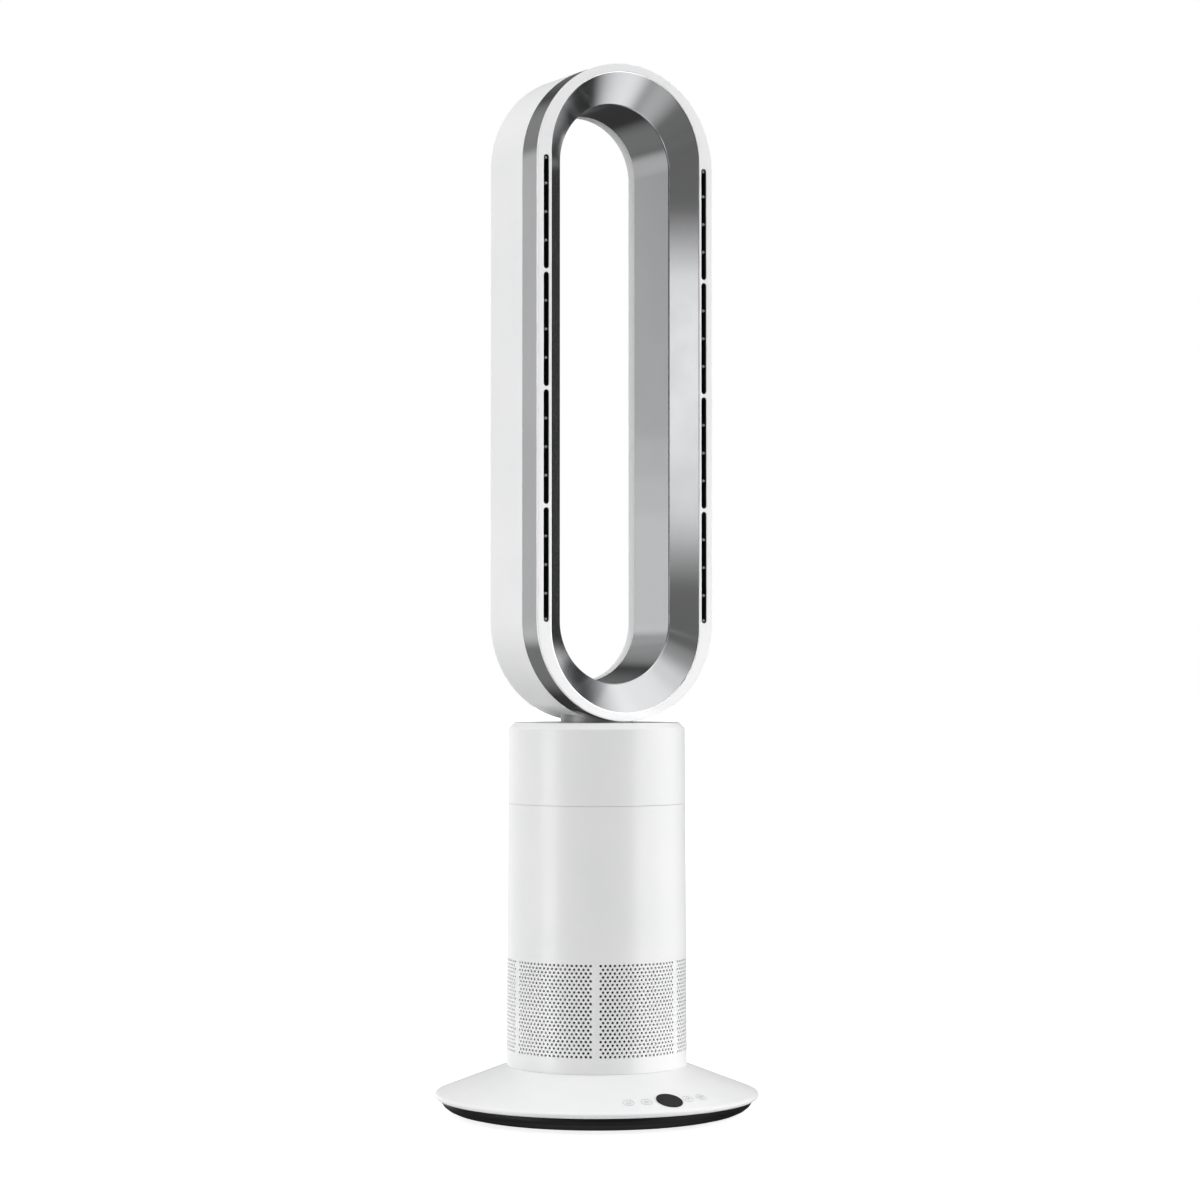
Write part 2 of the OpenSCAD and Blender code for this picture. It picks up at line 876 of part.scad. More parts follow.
rubber_feet();
base_plinth();
base_screws();
ballast_plate();
ballast_screws();
base_cover();
display_window();
touch_icons();
control_board();
display_module();
main_board();
board_capacitors();
board_screws();
power_inlet();
inlet_pin();
cable_grommet();
intake_shell();
column_screws();
inlet_bellmouth();
vibration_mounts();
impeller_housing();
impeller();
impeller_nut();
motor_bucket();
bucket_cap();
motor_stator();
motor_can();
motor_rotor();
motor_bearings();
outlet_cone();
turntable_plate();
turntable_screws();
glide_ring();
ring_gear();
turntable_disc();
retaining_ring();
oscillation_motor();
oscillation_motor_screws();
oscillation_pinion();
pinion_shaft();
upper_collar();
collar_screws();
neck_duct();
neck_screws();
top_cap();
neck_seal();
neck_clamp();
flow_splitter();
ring_rear_shell();
ring_band();
ring_liner();
ring_front_rim();
outlet_nozzles();
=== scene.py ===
"""Bladeless tower fan: the visual model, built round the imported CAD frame."""
import math
import json

import bpy
from mathutils import Vector, Matrix
from mathutils.geometry import delaunay_2d_cdt


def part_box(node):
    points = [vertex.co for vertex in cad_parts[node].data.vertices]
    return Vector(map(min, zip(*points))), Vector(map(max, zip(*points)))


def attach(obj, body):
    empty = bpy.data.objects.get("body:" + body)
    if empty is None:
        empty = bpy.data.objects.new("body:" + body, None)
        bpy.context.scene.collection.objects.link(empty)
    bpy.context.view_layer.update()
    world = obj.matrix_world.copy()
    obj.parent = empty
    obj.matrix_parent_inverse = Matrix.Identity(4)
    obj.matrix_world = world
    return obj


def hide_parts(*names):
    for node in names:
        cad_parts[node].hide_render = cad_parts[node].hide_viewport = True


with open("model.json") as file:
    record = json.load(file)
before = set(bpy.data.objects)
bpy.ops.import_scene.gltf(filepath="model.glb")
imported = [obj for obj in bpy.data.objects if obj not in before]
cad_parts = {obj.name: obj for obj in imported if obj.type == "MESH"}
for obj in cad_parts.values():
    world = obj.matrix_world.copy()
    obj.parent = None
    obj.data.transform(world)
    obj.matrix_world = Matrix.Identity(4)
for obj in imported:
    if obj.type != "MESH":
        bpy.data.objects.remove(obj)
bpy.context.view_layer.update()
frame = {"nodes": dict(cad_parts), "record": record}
MM = 0.001


# ------------------------------------------------------------------ node helpers

class Nodes:
    """A short way to wire one material or world."""

    def __init__(self, tree):
        self.tree = tree
        tree.nodes.clear()

    def add(self, kind, **settings):
        node = self.tree.nodes.new(kind)
        for key, value in settings.items():
            setattr(node, key, value)
        return node

    def link(self, a, b):
        self.tree.links.new(a, b)

    def math(self, operation, a, b=0.5, clamp=False):
        node = self.add("ShaderNodeMath", operation=operation, use_clamp=clamp)
        for socket, value in zip(node.inputs, (a, b)):
            if isinstance(value, (int, float)):
                socket.default_value = value
            else:
                self.link(value, socket)
        return node.outputs[0]

    def noise(self, vector, scale, detail=2.0, roughness=0.5):
        node = self.add("ShaderNodeTexNoise")
        node.inputs["Scale"].default_value = scale
        node.inputs["Detail"].default_value = detail
        node.inputs["Roughness"].default_value = roughness
        self.link(vector, node.inputs["Vector"])
        return node.outputs["Fac"]

    def spread(self, value, low, high, out_low, out_high):
        node = self.add("ShaderNodeMapRange", interpolation_type="SMOOTHSTEP")
        for name, number in (
            ("From Min", low), ("From Max", high), ("To Min", out_low), ("To Max", out_high)
        ):
            node.inputs[name].default_value = number
        self.link(value, node.inputs["Value"])
        return node.outputs["Result"]

    def stretched(self, scale):
        """Object coordinates, stretched by scale along each axis."""
        coords = self.add("ShaderNodeTexCoord")
        mapping = self.add("ShaderNodeMapping")
        mapping.inputs["Scale"].default_value = scale
        self.link(coords.outputs["Object"], mapping.inputs["Vector"])
        return mapping.outputs["Vector"]

    def blend(self, factor, low, high):
        node = self.add("ShaderNodeMix", data_type="RGBA")
        node.inputs["A"].default_value = (*low, 1)
        node.inputs["B"].default_value = (*high, 1)
        self.link(factor, node.inputs["Factor"])
        return node.outputs["Result"]


def finish_material(
    name, low, high, rough, metallic=0.0, coat=0.0, grain=900.0, bump=0.02,
    stretch=(1, 1, 1), mottle=14.0, wear=0.0, wear_color=(0.5, 0.5, 0.5), ior=1.5
):
    """Principled material with colour mottle, roughness variation, fine grain and edge wear."""
    material = bpy.data.materials.new(name)
    material.use_nodes = True
    n = Nodes(material.node_tree)
    output = n.add("ShaderNodeOutputMaterial")
    shader = n.add("ShaderNodeBsdfPrincipled")
    n.link(shader.outputs[0], output.inputs[0])
    shader.inputs["Metallic"].default_value = metallic
    shader.inputs["Coat Weight"].default_value = coat
    shader.inputs["Coat Roughness"].default_value = 0.08
    shader.inputs["IOR"].default_value = ior
    vector = n.stretched(stretch)
    plain = n.stretched((1, 1, 1))
    patches = n.noise(plain, mottle, 3.0)
    color = n.blend(n.spread(patches, 0.3, 0.7, 0.0, 1.0), low, high)
    if wear:
        geometry = n.add("ShaderNodeNewGeometry")
        edge = n.spread(geometry.outputs["Pointiness"], 0.52, 0.62, 0.0, wear)
        worn = n.add("ShaderNodeMix", data_type="RGBA")
        n.link(edge, worn.inputs["Factor"])
        n.link(color, worn.inputs["A"])
        worn.inputs["B"].default_value = (*wear_color, 1)
        color = worn.outputs["Result"]
    n.link(color, shader.inputs["Base Color"])
    fine = n.noise(vector, grain, 2.0, 0.6)
    broad = n.noise(plain, 45.0, 3.0)
    mixed = n.math("ADD", n.math("MULTIPLY", fine, 0.6), n.math("MULTIPLY", broad, 0.4))
    n.link(n.spread(mixed, 0.3, 0.7, rough[0], rough[1]), shader.inputs["Roughness"])
    relief = n.add("ShaderNodeBump")
    relief.inputs["Strength"].default_value = bump
    relief.inputs["Distance"].default_value = 0.0004
    n.link(fine, relief.inputs["Height"])
    n.link(relief.outputs["Normal"], shader.inputs["Normal"])
    return material


WHITE = finish_material(
    "white_plastic", (0.88, 0.885, 0.89), (0.91, 0.91, 0.91), (0.36, 0.46),
    coat=0.12, grain=1400, bump=0.03, wear=0.25, wear_color=(0.93, 0.93, 0.92)
)
RIM_WHITE = finish_material(
    "rim_white", (0.92, 0.92, 0.925), (0.95, 0.95, 0.95), (0.28, 0.36),
    coat=0.3, grain=1400, bump=0.03
)
SILVER = finish_material(
    "silver_lacquer", (0.63, 0.635, 0.645), (0.66, 0.665, 0.675), (0.11, 0.15),
    metallic=1.0, grain=2600, bump=0.012, mottle=9.0, wear=0.2,
    wear_color=(0.82, 0.82, 0.83)
)
NECK_SILVER = finish_material(
    "neck_silver", (0.27, 0.272, 0.276), (0.31, 0.312, 0.316), (0.4, 0.5),
    metallic=0.2, grain=2200, bump=0.03
)
# Near-black painted shade: it stands for the dark inside of the column seen through the air
# holes, not for a colour the parts have.
PAINTED_SHADE = finish_material(
    "painted_shade_inside", (0.02, 0.02, 0.02), (0.03, 0.03, 0.03), (0.7, 0.85), grain=1500, bump=0.1
)
# Grey far lighter than the black nozzles the webs belong to: painted highlight for the light the
# small webs and pegs catch.
WEB_HIGHLIGHT_GREY = finish_material(
    "web_grey_painted_highlight", (0.24, 0.24, 0.245), (0.3, 0.3, 0.305), (0.4, 0.5), grain=2600, bump=0.05
)
BLACK = finish_material(
    "black_plastic", (0.005, 0.005, 0.0055), (0.009, 0.009, 0.0095), (0.34, 0.48),
    grain=1800, bump=0.12, wear=0.3, wear_color=(0.03, 0.03, 0.03), ior=1.25
)
SLOT_BLACK = finish_material(
    "slot_black", (0.004, 0.004, 0.0045), (0.008, 0.008, 0.008), (0.45, 0.6),
    grain=1500, bump=0.1
)
WINDOW = finish_material(
    "window_black", (0.006, 0.006, 0.007), (0.012, 0.012, 0.013), (0.06, 0.14),
    grain=300, bump=0.01, ior=1.15
)
PRINT = finish_material(
    "icon_print", (0.56, 0.56, 0.57), (0.64, 0.64, 0.65), (0.4, 0.55), grain=2500, bump=0.05
)
RUBBER = finish_material(
    "rubber", (0.018, 0.018, 0.018), (0.03, 0.03, 0.03), (0.7, 0.85), grain=2200, bump=0.3
)
STEEL = finish_material(
    "zinc_steel", (0.5, 0.5, 0.5), (0.6, 0.6, 0.6), (0.25, 0.42), metallic=1.0,
    grain=900, bump=0.08, stretch=(1, 1, 6)
)
BALLAST = finish_material(
    "ballast_steel", (0.03, 0.03, 0.032), (0.06, 0.058, 0.055), (0.5, 0.75), metallic=0.6,
    grain=700, bump=0.3
)
ALUMINIUM = finish_material(
    "aluminium", (0.55, 0.56, 0.57), (0.66, 0.66, 0.67), (0.3, 0.45), metallic=1.0,
    grain=1000, bump=0.1
)
COPPER = finish_material(
    "copper_winding", (0.45, 0.2, 0.08), (0.62, 0.3, 0.13), (0.3, 0.45), metallic=0.8,
    grain=1600, bump=0.4, stretch=(0.2, 0.2, 4)
)
BOARD = finish_material(
    "board_green", (0.015, 0.11, 0.045), (0.02, 0.16, 0.06), (0.3, 0.4), grain=1200, bump=0.08
)
BRASS = finish_material(
    "brass_pin", (0.6, 0.45, 0.2), (0.72, 0.56, 0.27), (0.2, 0.35), metallic=1.0,
    grain=900, bump=0.05
)
GREY = finish_material(
    "grey_plastic", (0.2, 0.205, 0.21), (0.26, 0.262, 0.27), (0.45, 0.6), grain=1500, bump=0.2
)
ACETAL = finish_material(
    "white_acetal", (0.72, 0.71, 0.67), (0.8, 0.79, 0.75), (0.38, 0.5), grain=1300, bump=0.08
)

SLOT_LOOKS = {
    "white_plastic": WHITE, "silver_finish": SILVER, "black_plastic": BLACK,
    "black_gloss": WINDOW, "grey_print": PRINT, "grey_plastic": GREY,
    "white_acetal": ACETAL, "rubber": RUBBER, "steel": STEEL, "ballast_steel": BALLAST,
    "aluminium": ALUMINIUM, "copper_winding": COPPER, "board_green": BOARD,
    "brass_pin": BRASS,
}
# The inlet bellmouth and impeller housing take the painted shade: near-black like the shade
# inside the column, not their own grey.
NODE_LOOKS = {
    "neck_duct": NECK_SILVER, "board_capacitors": GREY, "inlet_bellmouth": PAINTED_SHADE,
    "impeller_housing": PAINTED_SHADE,
}
for part in frame["record"]["subparts"]:
    look = NODE_LOOKS.get(part["node"], SLOT_LOOKS[part["material_slot"]])
    for material_slot in frame["nodes"][part["node"]].material_slots:
        material_slot.material = look


# ------------------------------------------------------------------ mesh helpers

def new_piece(name, verts, faces, looks, body, nodes=(), sharp=(), face_looks=None):
    """A closed mesh piece in metres that rides on a body and stands for CAD nodes."""
    mesh = bpy.data.meshes.new(name)
    mesh.from_pydata([tuple(v) for v in verts], [], faces)
    mesh.polygons.foreach_set("use_smooth", [True] * len(mesh.polygons))
    for look in looks:
        mesh.materials.append(look)
    if face_looks:
        mesh.polygons.foreach_set("material_index", face_looks)
    if sharp:
        keys = {tuple(sorted(pair)) for pair in sharp}
        for edge in mesh.edges:
            if tuple(sorted(edge.vertices)) in keys:
                edge.use_edge_sharp = True
    mesh.validate()
    mesh.update()
    piece = bpy.data.objects.new(name, mesh)
    bpy.context.scene.collection.objects.link(piece)
    weighted = piece.modifiers.new("weighted", "WEIGHTED_NORMAL")
    weighted.keep_sharp = True
    weighted.weight = 50
    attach(piece, body)
    if nodes:
        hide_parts(*nodes)
    return piece


def rounded(points, closed=True, steps=4):
    """Rounds the corners of a polyline. Each entry is (point tuple, corner reach)."""
    result = []
    count = len(points)
    for i, (point, reach) in enumerate(points):
        here = Vector(point)
        if reach <= 0 or (not closed and i in (0, count - 1)):
            result.append(here)
            continue
        before = Vector(points[i - 1][0])
        after = Vector(points[(i + 1) % count][0])
        start = here + (before - here).normalized() * min(reach, (before - here).length * 0.49)
        end = here + (after - here).normalized() * min(reach, (after - here).length * 0.49)
        for k in range(steps + 1):
            t = k / steps
            result.append(start * (1 - t) ** 2 + here * 2 * t * (1 - t) + end * t * t)
    return result


def ring_faces(rows, columns, close_rows):
    """Quads between consecutive closed rows of vertices."""
    faces = []
    last = rows if close_rows else rows - 1
    for i in range(last):
        a = i * columns
        b = ((i + 1) % rows) * columns
        for j in range(columns):
            k = (j + 1) % columns
            faces.append((a + j, a + k, b + k, b + j))
    return faces


def lathe(name, profile, looks, body, nodes=(), segments=192, face_look=None):
    """Turns a closed profile of (radius, z) in metres about the column's axis."""
    verts = []
    for radius, z in profile:
        for j in range(segments):
            a = 2 * math.pi * j / segments
            verts.append((radius * math.cos(a), radius * math.sin(a), z))
    faces = ring_faces(len(profile), segments, True)
    marks = None
    if face_look:
        marks = [face_look(profile[i // segments][1]) for i in range(len(faces))]
    return new_piece(name, verts, faces, looks, body, nodes, (), marks)


# ------------------------------------------------------------------ sizes from the frame

rim_lo, rim_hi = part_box("ring_front_rim")
shell_lo, shell_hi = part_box("ring_rear_shell")
liner_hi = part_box("ring_liner")[1]
column_lo, column_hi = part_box("intake_shell")
collar_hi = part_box("upper_collar")[1]
cover_lo, cover_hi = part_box("base_cover")
plinth_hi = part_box("base_plinth")[1]

R_RING = (rim_hi[0] - rim_lo[0]) / 2
Z_LOW = rim_lo[2] + R_RING
Z_HIGH = rim_hi[2] - R_RING
Y_FRONT = rim_lo[1]
Y_BACK = shell_hi[1]
Y_BAND = shell_lo[1]
Y_LINER = liner_hi[1]
Y_RIDGE = Y_FRONT + 21 * MM
R_INNER = 77.7 * MM
R_RIDGE = 57.2 * MM
R_LIP = 55.3 * MM
RIM_SHIFT = 6.5 * MM
WALL = 2.2 * MM

FINE = 0.35 * MM
GAP = 0.1 * MM
HALF_GAP = 0.05 * MM

ARC = 72
SIDE = 24


def stadium(radius, shift=0.0, arc=ARC, side=SIDE):
    """Points of the ring's rounded loop in X and Z, anticlockwise from the right side."""
    low, high = Z_LOW - shift, Z_HIGH + shift
    points = []
    for i in range(side):
        points.append((radius, low + (high - low) * i / side))
    for i in range(arc):
        a = math.pi * i / arc
        points.append((radius * math.cos(a), high + radius * math.sin(a)))
    for i in range(side):
        points.append((-radius, high + (low - high) * i / side))
    for i in range(arc):
        a = math.pi + math.pi * i / arc
        points.append((radius * math.cos(a), low + radius * math.sin(a)))
    return points


def loop_piece(name, profile, looks, nodes, face_look=None):
    """Sweeps a closed profile of (radius, shift, y) round the ring."""
    verts = []
    for radius, shift, y in profile:
        verts += [(x, y, z) for x, z in stadium(radius, shift)]
    columns = 2 * (ARC + SIDE)
    faces = ring_faces(len(profile), columns, True)
    marks = None
    if face_look:
        marks = [face_look(i // columns) for i in range(len(faces))]
    return new_piece(name, verts, faces, looks, "head", nodes, (), marks)


# ------------------------------------------------------------------ air ring

Y_BAND_EDGE = Y_FRONT + 1.05 * MM
Y_LINER_EDGE = Y_FRONT + 0.45 * MM
Y_RIM_BACK = Y_FRONT + 2.4 * MM
CORNER = 0.2 * MM
rear_shell = loop_piece(
    "ring_rear_shell_moulding",
    rounded([
        ((R_RING, 0, Y_BAND + 1.5 * GAP), FINE),
        ((R_RING, 0, Y_BACK), 3.2 * MM),
        ((R_LIP, 0, Y_BACK), 1.6 * MM),
        ((R_LIP, 0, Y_LINER + GAP), FINE),
        ((R_LIP + WALL, 0, Y_LINER + GAP), 0),
        ((R_LIP + WALL, 0, Y_BACK - WALL), 0.8 * MM),
        ((R_RING - WALL, 0, Y_BACK - WALL), 2 * MM),
        ((R_RING - WALL, 0, Y_BAND + 1.5 * GAP), 0),
    ], steps=6),
    [WHITE], ["ring_rear_shell"],
)
rear_shell.visible_glossy = False
loop_piece(
    "ring_band_silver",
    rounded([
        ((R_RING - HALF_GAP, 0, Y_BAND_EDGE), CORNER),
        ((R_RING - HALF_GAP, 0, Y_BAND - GAP), CORNER),
        ((R_RING - WALL, 0, Y_BAND - GAP), 0),
        ((R_RING - WALL, 0, Y_BAND_EDGE), 0),
    ], steps=4),
    [SILVER], ["ring_band"],
)
loop_piece(
    "ring_liner_silver",
    rounded([
        ((R_INNER - 0.5 * MM, RIM_SHIFT, Y_LINER_EDGE), 0.25 * MM),
        ((R_RIDGE, 0, Y_RIDGE), 1.1 * MM),
        ((R_LIP, 0, Y_LINER), 0.3 * MM),
        ((R_LIP + WALL, 0, Y_LINER), 0),
        ((R_RIDGE + WALL, 0, Y_RIDGE + 1.2 * MM), 0.8 * MM),
        ((R_INNER - 0.02 * MM, RIM_SHIFT, Y_RIM_BACK), 0),
        ((R_INNER - 0.02 * MM, RIM_SHIFT, Y_LINER_EDGE), 0.1 * MM),
    ], steps=6),
    [SILVER], ["ring_liner"],
)

SLOTS = 4
SLOT_W = 5.2 * MM
SLOT_X = 82.6 * MM
WEB_R = 0.45 * MM
BRIDGE = 3 * MM
SLOT_ZONE = Z_HIGH - Z_LOW + 3.5 * MM
SLOT_LEN = (SLOT_ZONE - (SLOTS - 1) * BRIDGE) / SLOTS


def slot_outline(x, z, radius, arc=14):
    """Closed outline of one slot whose lower end centre is at (x, z)."""
    straight = SLOT_LEN - SLOT_W
    points = []
    for i in range(arc + 1):
        a = math.pi * i / arc
        points.append((x + radius * math.cos(a), z + straight + radius * math.sin(a)))
    for i in range(arc + 1):
        a = math.pi + math.pi * i / arc
        points.append((x + radius * math.cos(a), z + radius * math.sin(a)))
    return points


slot_places = []
for side in (-1, 1):
    for i in range(SLOTS):
        low_z = Z_LOW - 1.75 * MM + i * (SLOT_LEN + BRIDGE) + SLOT_W / 2
        slot_places.append((side * SLOT_X, low_z))


def sheet_with_holes(name, outer, inner, holes, steps, y_back, looks, nodes):
    """A flat moulding facing -Y. outer, inner and holes give an outline for an offset."""
    verts, faces = [], []
    outlines = [(outer, -1)] + [(inner, 1)] + [(hole, 1) for hole in holes]
    rims = []
    for make, grow in outlines:
        rows = []
        for offset, y in steps:
            start = len(verts)
            points = make(grow * offset)
            verts += [(x, y, z) for x, z in points]
            rows.append((start, len(points)))
        start = len(verts)
        points = make(0)
        verts += [(x, y_back, z) for x, z in points]
        rows.append((start, len(points)))
        rims.append((rows, grow))
        for (a, count), (b, _) in zip(rows, rows[1:]):
            for j in range(count):
                k = (j + 1) % count
                quad = (a + j, b + j, b + k, a + k)
                faces.append(quad if grow < 0 else quad[::-1])
    for which, flip in ((0, False), (-1, True)):
        flat, lookup, loops = [], [], []
        for rows, grow in rims:
            start, count = rows[which]
            base = len(flat)
            for j in range(count):
                flat.append(Vector((verts[start + j][0], verts[start + j][2])))
                lookup.append(start + j)
            loops += [(base + j, base + (j + 1) % count) for j in range(count)]
        out_verts, _, out_faces, origin, _, _ = delaunay_2d_cdt(flat, loops, [], 0, 1e-7)
        for face in out_faces:
            ids = [lookup[origin[v][0]] for v in face]
            mid = sum((out_verts[v] for v in face), Vector((0, 0))) / len(face)
            if not in_sheet(mid, outer, inner, holes):
                continue
            area = 0
            for a, b in zip(face, face[1:] + face[:1]):
                area += out_verts[a].x * out_verts[b].y - out_verts[b].x * out_verts[a].y
            if (area > 0) == flip:
                ids = ids[::-1]
            faces.append(ids)
    return new_piece(name, verts, faces, looks, "head", nodes)


def inside(point, outline):
    x, z = point
    hit = False
    for (ax, az), (bx, bz) in zip(outline, outline[1:] + outline[:1]):
        if (az > z) != (bz > z) and x < (bx - ax) * (z - az) / (bz - az) + ax:
            hit = not hit
    return hit


def in_sheet(point, outer, inner, holes):
    if not inside(point, outer(0)) or inside(point, inner(0)):
        return False
    return not any(inside(point, hole(0)) for hole in holes)


rim_steps = []
RIM_ROUND = 0.9 * MM
for k in range(7):
    a = math.pi / 2 * k / 6
    rim_steps.append((
        RIM_ROUND * (1 - math.sin(a)), Y_FRONT + RIM_ROUND * (1 - math.cos(a))
    ))
slot_makers = [
    (lambda offset, x=x, z=z: slot_outline(x, z, SLOT_W / 2 + offset * 0.35))
    for x, z in slot_places
]
sheet_with_holes(
    "ring_front_rim_face",
    lambda offset: stadium(R_RING + offset, 0.0),
    lambda offset: stadium(R_INNER + offset * 0.4, RIM_SHIFT),
    slot_makers, rim_steps, Y_RIM_BACK,
    [RIM_WHITE], ["ring_front_rim"],
)


def nozzle_mesh():
    """Black channels behind the slots."""
    verts, faces = [], []
    y_mouth = Y_FRONT + 0.8 * MM
    y_step = Y_FRONT + 2.5 * MM
    y_floor = Y_FRONT + 11 * MM
    half = SLOT_W / 2
    for x, z in slot_places:
        rows = []
        for radius, y in (
            (half + 0.8 * MM, y_floor), (half + 0.8 * MM, y_step),
            (half + 0.01 * MM, y_step), (half - 0.02 * MM, y_mouth),
            (half - 0.25 * MM, y_mouth + 0.2 * MM), (half - 0.3 * MM, y_floor - 1 * MM),
        ):
            points = slot_outline(x, z, radius)
            rows.append((len(verts), len(points)))
            verts += [(px, y, pz) for px, pz in points]
        for (a, count), (b, _) in zip(rows, rows[1:]):
            for j in range(count):
                k = (j + 1) % count
                faces.append((a + j, a + k, b + k, b + j))
        faces.append([rows[0][0] + j for j in range(rows[0][1])][::-1])
        faces.append([rows[-1][0] + j for j in range(rows[-1][1])])
    return verts, faces


verts, faces = nozzle_mesh()
new_piece(
    "outlet_nozzle_channels", verts, faces, [SLOT_BLACK], "head",
    ["outlet_nozzles"]
)


WEB_DEPTH = 2.2 * MM


def web_mesh():
    """Thin webs across each slot at its quarter points, each with a round peg in its middle."""
    verts, faces = [], []
    ring = 12
    for index, (x, z) in enumerate(slot_places):
        levels = [z - SLOT_W / 2 + SLOT_LEN * k / 4 for k in (1, 2, 3)]
        for level in levels:
            rows = []
            for px in (-1.0, -0.5, 0.0, 0.5, 1.0):
                rows.append(len(verts))
                for j in range(ring):
                    a = 2 * math.pi * j / ring
                    verts.append((
                        x + px * SLOT_W / 2 * 0.99,
                        Y_FRONT + WEB_DEPTH + WEB_R * math.sin(a),
                        level + WEB_R * math.cos(a),
                    ))
            for a, b in zip(rows, rows[1:]):
                for j in range(ring):
                    k = (j + 1) % ring
                    faces.append((a + j, a + k, b + k, b + j))
            faces.append([rows[0] + j for j in range(ring)][::-1])
            faces.append([rows[-1] + j for j in range(ring)])
            add_peg(verts, faces, x, level)
        outer_end = {0: z, SLOTS - 1: z + SLOT_LEN - SLOT_W}
        if index % SLOTS in outer_end:
            add_peg(verts, faces, x, outer_end[index % SLOTS])
    return verts, faces


PEG_PROFILE = ((1.35, 9.0), (1.35, 1.6), (1.25, 1.2), (0.9, 0.9), (0.4, 0.78))  # radius, depth


def add_peg(verts, faces, x, z, segments=16):
    """A small domed peg that stands in a slot."""
    rows = []
    for radius, depth in PEG_PROFILE:
        rows.append(len(verts))
        for j in range(segments):
            a = 2 * math.pi * j / segments
            verts.append((
                x + radius * MM * math.cos(a), Y_FRONT + depth * MM, z + radius * MM * math.sin(a)
            ))
    for a, b in zip(rows, rows[1:]):
        for j in range(segments):
            k = (j + 1) % segments
            faces.append((a + j, b + j, b + k, a + k))
    faces.append([rows[0] + j for j in range(segments)])
    faces.append([rows[-1] + j for j in range(segments)][::-1])


# The webs and pegs take the painted highlight grey.
verts, faces = web_mesh()
new_piece("outlet_slot_webs", verts, faces, [WEB_HIGHLIGHT_GREY], "head")

# ------------------------------------------------------------------ column and base

R_FOOT = (column_hi[0] - column_lo[0]) / 2
cap_lo, cap_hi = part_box("top_cap")
R_CAP = (cap_hi[0] - cap_lo[0]) / 2
CHAMFER_W = 5.3 * MM
CHAMFER_H = 5.5 * MM
R_COLLAR = R_CAP + CHAMFER_W + 0.5 * MM
Z_FOOT = column_lo[2]
Z_SEAM = column_hi[2]
Z_TOP = collar_hi[2]
SHELL = 2.4 * MM
FIELDS = 6
FIELD = 40
COLUMNS = FIELDS * FIELD
HOLES = 19
HALF_PITCH = math.radians(1.4915)
ROWS = 25
ROW_PITCH = 3.383 * MM
HOLE_R = 1.2 * MM
Z_ROW0 = 61.4 * MM
FIELD_START = -math.pi / 2 - HOLES * HALF_PITCH
# Gap, wall and reach of the dark sheet behind the air holes, which is painted shade.
SHADE_SHEET_GAP = 0.1 * MM
SHADE_SHEET_WALL = 1.0 * MM
SHADE_SHEET_REACH = 3 * MM


def column_radius(z):
    return R_FOOT + (R_COLLAR - R_FOOT) * (z - Z_FOOT) / (Z_TOP - Z_FOOT)


